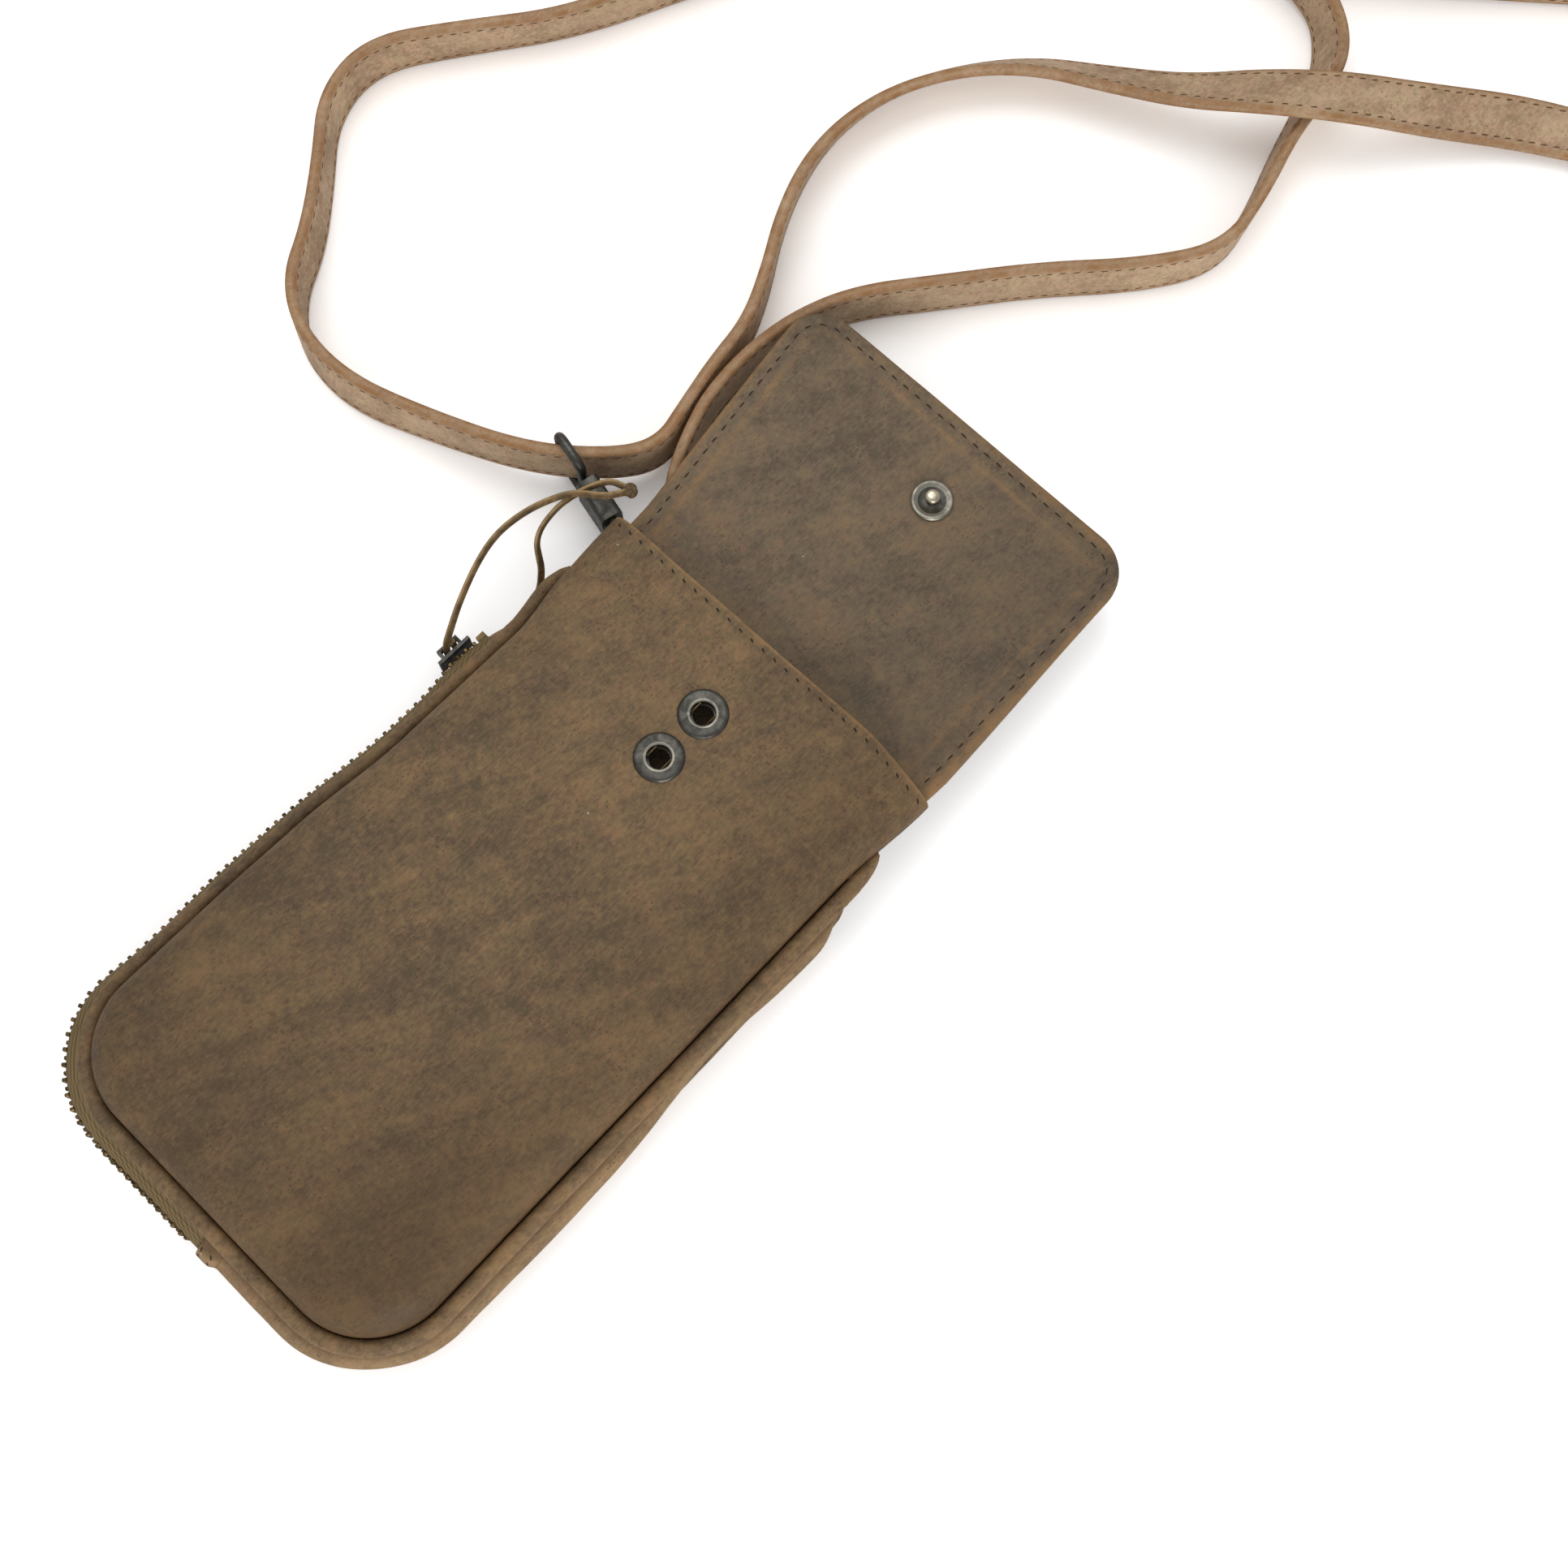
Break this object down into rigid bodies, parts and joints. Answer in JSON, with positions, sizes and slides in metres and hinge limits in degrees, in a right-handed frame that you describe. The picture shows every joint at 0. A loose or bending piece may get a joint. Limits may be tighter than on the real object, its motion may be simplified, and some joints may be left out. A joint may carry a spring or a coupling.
{
  "type": "phone pouch",
  "caption": "Leather phone pouch with a domed open pocket, zipped compartment behind, folding flap with press stud, ringed swivel hook and long shoulder strap",
  "frame": {"origin": "on the flat outer face of the back panel, half way across the pouch, 90 mm below the pocket's mouth", "axes": "+X to the right across the pouch, +Y from the bottom to the flap, +Z from the back panel to the front panel"},
  "size_m": [0.2891, 0.5171, 0.03],
  "materials": {
    "pouch_leather": "waxed, mottled, worn edges",
    "strap_leather": "waxed, worn edges",
    "zip_cloth": "woven",
    "dark_brass": "antique",
    "dark_nickel": "antique, satin"
  },
  "bodies": {
    "pouch": {"back_panel": "pouch_leather", "divider_panel": "pouch_leather", "front_panel": "pouch_leather", "front_piping": "pouch_leather", "back_piping": "pouch_leather", "side_gusset": "pouch_leather", "side_gusset_left": "pouch_leather", "zip_end_tab": "pouch_leather", "zip_tape_front": "zip_cloth", "zip_tape_back": "zip_cloth", "zip_teeth_front": "dark_brass", "zip_teeth_back": "dark_brass", "zip_top_stops": "dark_brass", "zip_bottom_stop": "dark_brass", "flap_root_outer": "pouch_leather", "snap_sockets": "dark_nickel", "snap_springs": "dark_brass", "snap_eyelets": "dark_nickel", "ring_tab_left": "pouch_leather", "ring_tab_right": "pouch_leather", "hook_eye": "dark_nickel", "shoulder_strap": "strap_leather", "strap_slider": "dark_nickel", "strap_slider_fold": "strap_leather"},
    "zip_slider": {"zip_slider_outer": "dark_nickel", "zip_slider_inner": "dark_nickel", "zip_lace_outer": "strap_leather", "zip_lace_inner": "strap_leather", "zip_lace_knot": "strap_leather"},
    "flap_bridge": {"flap_bridge_outer": "pouch_leather", "flap_bridge_lining": "pouch_leather"},
    "flap_tip": {"flap_tip_outer": "pouch_leather", "flap_tip_lining": "pouch_leather", "snap_cap": "dark_nickel", "snap_stud": "dark_nickel"},
    "left_ring": {"d_ring_left": "dark_nickel"},
    "right_ring": {"d_ring_right": "dark_nickel", "strap_ring_fold": "strap_leather"},
    "hook": {"hook_body": "dark_nickel", "hook_spring": "dark_nickel"},
    "hook_bolt": {"hook_bolt": "dark_nickel"}
  },
  "joints": [
    {"name": "flap_root_fold", "type": "hinge", "parent": "pouch", "child": "flap_bridge", "pos_m": [0, 0.0962, 0.019], "axis": [1, 0, 0], "range_deg": [0, 90]},
    {"name": "flap_front_fold", "type": "hinge", "parent": "flap_bridge", "child": "flap_tip", "pos_m": [0, 0.1085, 0.019], "axis": [1, 0, 0], "range_deg": [0, 90]},
    {"name": "zip_slide", "type": "slide", "parent": "pouch", "child": "zip_slider", "axis": [-0.0121, -0.9999, 0], "range_m": [0, 0.1]},
    {"name": "left_ring_swing", "type": "hinge", "parent": "pouch", "child": "left_ring", "pos_m": [-0.036, 0.088, 0.01275], "axis": [-0.2198, -0.9755, 0], "range_deg": [-2, 2]},
    {"name": "right_ring_swing", "type": "hinge", "parent": "pouch", "child": "right_ring", "pos_m": [0.036, 0.088, 0.01275], "axis": [0, 1, 0], "range_deg": [-2, 2]},
    {"name": "hook_swivel", "type": "hinge", "parent": "pouch", "child": "hook", "pos_m": [-0.05507, 0.0923, 0.0111], "axis": [-0.9755, 0.2198, 0], "range_deg": [-15, 15]},
    {"name": "hook_bolt_slide", "type": "slide", "parent": "hook", "child": "hook_bolt", "axis": [-0.9755, 0.2198, 0], "range_m": [0, 0.005], "stiffness_N_per_m": 150, "deforming": ["hook_spring"]}
  ],
  "couplings": [
    {"joint": "flap_front_fold", "follows": "flap_root_fold", "ratio": 1}
  ]
}
